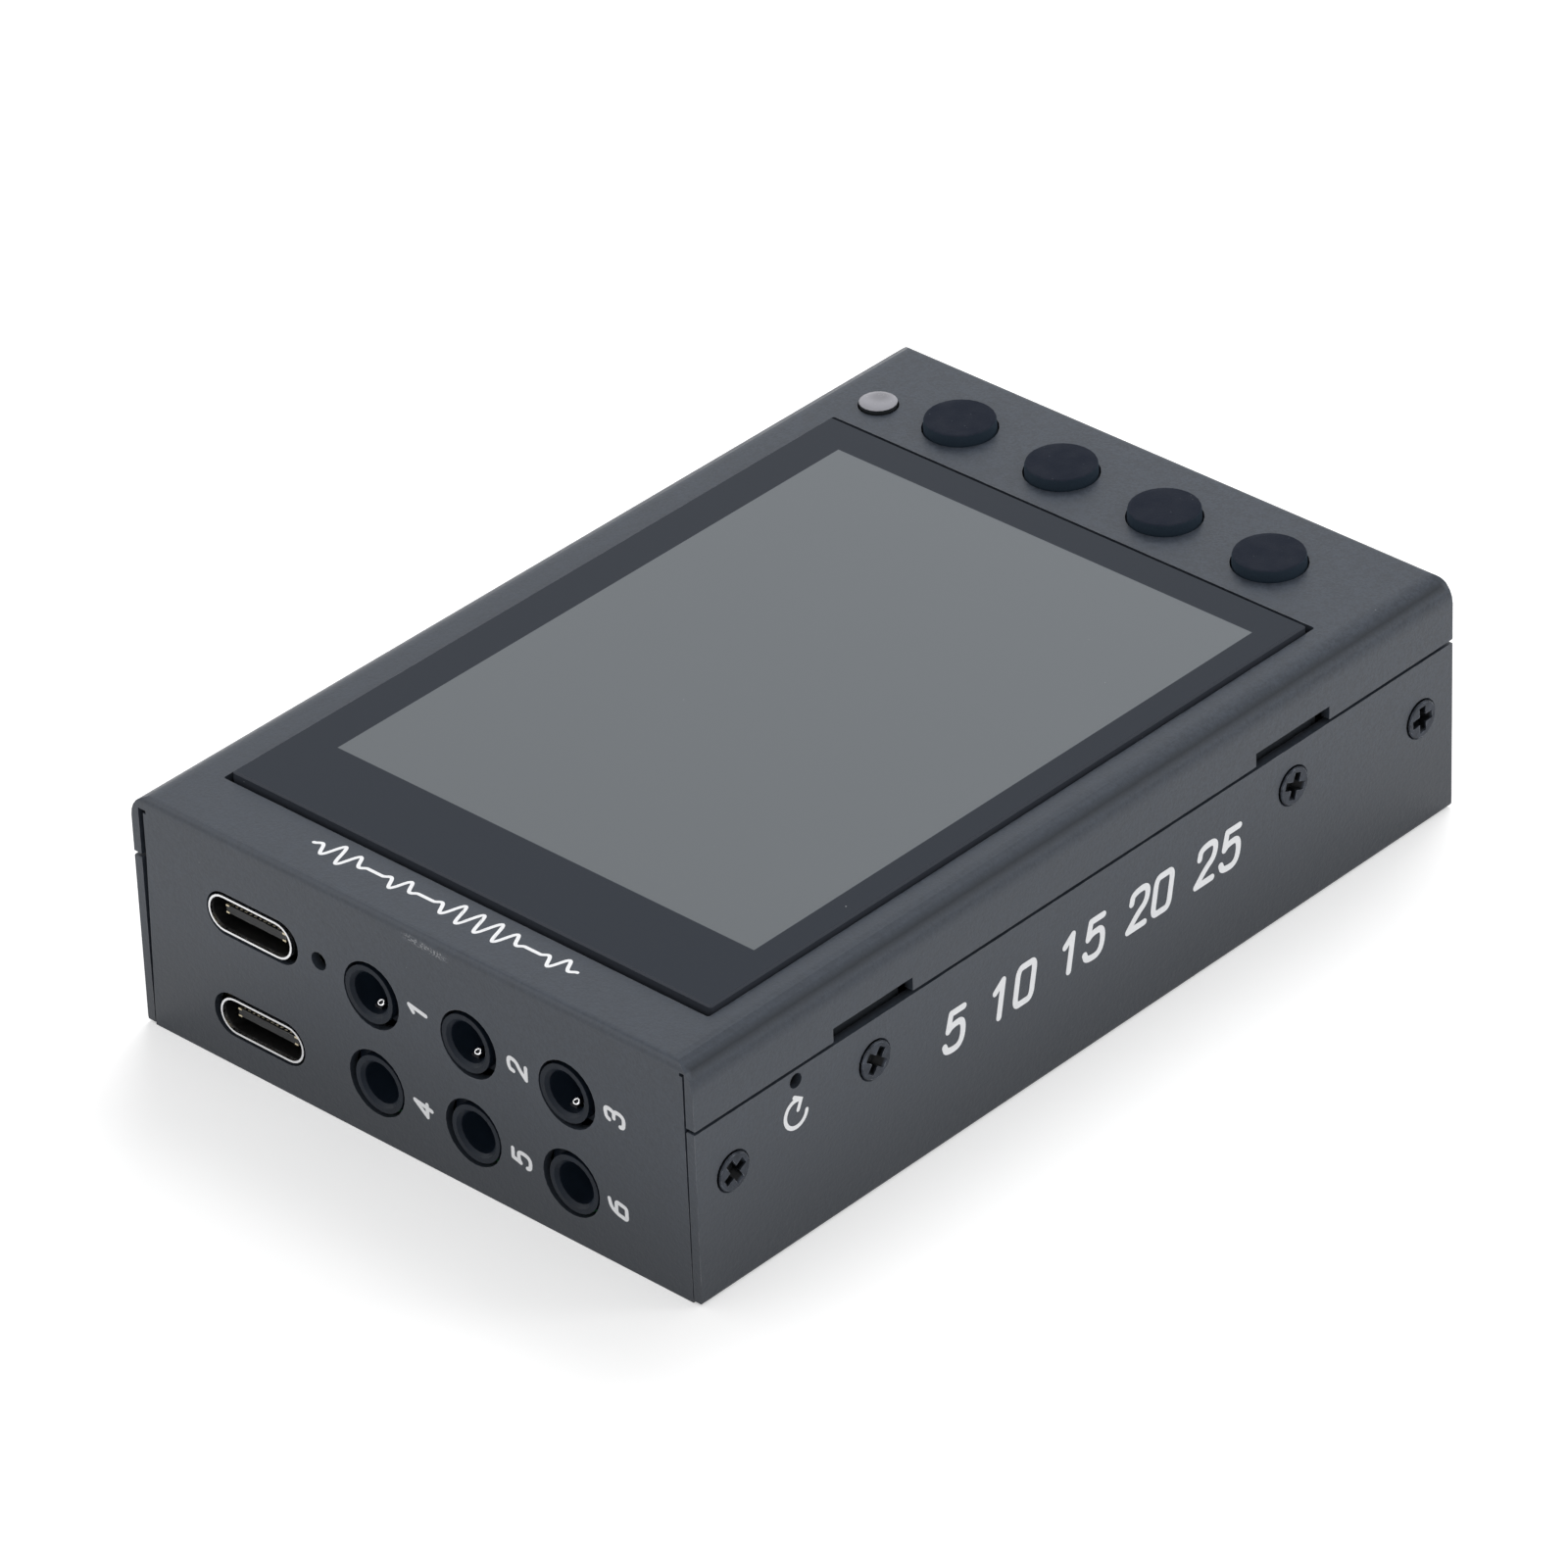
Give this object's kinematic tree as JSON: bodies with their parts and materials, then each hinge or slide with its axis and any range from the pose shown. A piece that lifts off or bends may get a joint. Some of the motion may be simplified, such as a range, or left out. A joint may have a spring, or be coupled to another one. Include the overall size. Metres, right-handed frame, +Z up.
{
  "type": "morse code trainer",
  "caption": "Pocket trainer with a touch display and push buttons in a folded sheet-metal case, with round audio jacks and flat charging sockets in one end.",
  "frame": {"origin": "middle of the footprint, on the surface that the case stands on", "axes": "+Z up, out of the display; +Y along the case, from the jacks at -Y to the buttons at +Y; +X across the case, towards the long side with the reset hole"},
  "size_m": [0.0588, 0.0874, 0.0223],
  "materials": {
    "powder_coat": "satin blue-grey powder coat",
    "display_glass": "smooth cover glass printed grey behind",
    "display_frame": "pressed bezel",
    "board_green": "green solder resist",
    "button_rubber": "matt",
    "black_plastic": "moulded, slight sheen",
    "grey_plastic": "moulded",
    "milky_lens": "milky, translucent",
    "bright_steel": "plated",
    "black_oxide_steel": "black oxide",
    "brass": "plain",
    "battery_foil": "laminated foil",
    "red_insulation": "soft insulation"
  },
  "bodies": {
    "case": {"battery": "battery_foil", "battery_lead_black": "black_plastic", "battery_lead_red": "red_insulation", "battery_socket": "milky_lens", "board_screw_1": "bright_steel", "board_screw_2": "bright_steel", "board_screw_3": "bright_steel", "board_screw_4": "bright_steel", "button_switch_1": "grey_plastic", "button_switch_2": "grey_plastic", "button_switch_3": "grey_plastic", "button_switch_4": "grey_plastic", "case_screw_1": "black_oxide_steel", "case_screw_2": "black_oxide_steel", "case_screw_3": "black_oxide_steel", "case_screw_4": "black_oxide_steel", "case_screw_5": "black_oxide_steel", "case_screw_6": "black_oxide_steel", "case_screw_7": "black_oxide_steel", "case_screw_8": "black_oxide_steel", "charge_led": "milky_lens", "display_module": "display_frame", "jack_contact_lower_1": "bright_steel", "jack_contact_lower_2": "bright_steel", "jack_contact_lower_3": "bright_steel", "jack_contact_upper_1": "bright_steel", "jack_contact_upper_2": "bright_steel", "jack_contact_upper_3": "bright_steel", "jack_lower_1": "black_plastic", "jack_lower_2": "black_plastic", "jack_lower_3": "black_plastic", "jack_upper_1": "black_plastic", "jack_upper_2": "black_plastic", "jack_upper_3": "black_plastic", "link_header": "black_plastic", "link_socket": "black_plastic", "lower_board": "board_green", "lower_shell": "powder_coat", "reset_switch": "black_plastic", "sounder": "black_plastic", "spacer_1": "brass", "spacer_2": "brass", "spacer_3": "brass", "spacer_4": "brass", "status_led": "milky_lens", "touch_panel": "display_glass", "upper_board": "board_green", "upper_shell": "powder_coat", "usb_lower_shell": "bright_steel", "usb_lower_tongue": "black_plastic", "usb_upper_shell": "bright_steel", "usb_upper_tongue": "black_plastic"},
    "button_1": {"button_cap_1": "button_rubber"},
    "button_2": {"button_cap_2": "button_rubber"},
    "button_3": {"button_cap_3": "button_rubber"},
    "button_4": {"button_cap_4": "button_rubber"},
    "reset": {"reset_plunger": "milky_lens"}
  },
  "joints": [
    {"name": "button_1_press", "type": "slide", "parent": "case", "child": "button_1", "axis": [0, 0, -1], "range_m": [0, 0.00025], "stiffness_N_per_m": 6000},
    {"name": "button_2_press", "type": "slide", "parent": "case", "child": "button_2", "axis": [0, 0, -1], "range_m": [0, 0.00025], "stiffness_N_per_m": 6000},
    {"name": "button_3_press", "type": "slide", "parent": "case", "child": "button_3", "axis": [0, 0, -1], "range_m": [0, 0.00025], "stiffness_N_per_m": 6000},
    {"name": "button_4_press", "type": "slide", "parent": "case", "child": "button_4", "axis": [0, 0, -1], "range_m": [0, 0.00025], "stiffness_N_per_m": 6000},
    {"name": "reset_press", "type": "slide", "parent": "case", "child": "reset", "axis": [-1, 0, 0], "range_m": [0, 0.00025], "stiffness_N_per_m": 6000}
  ]
}
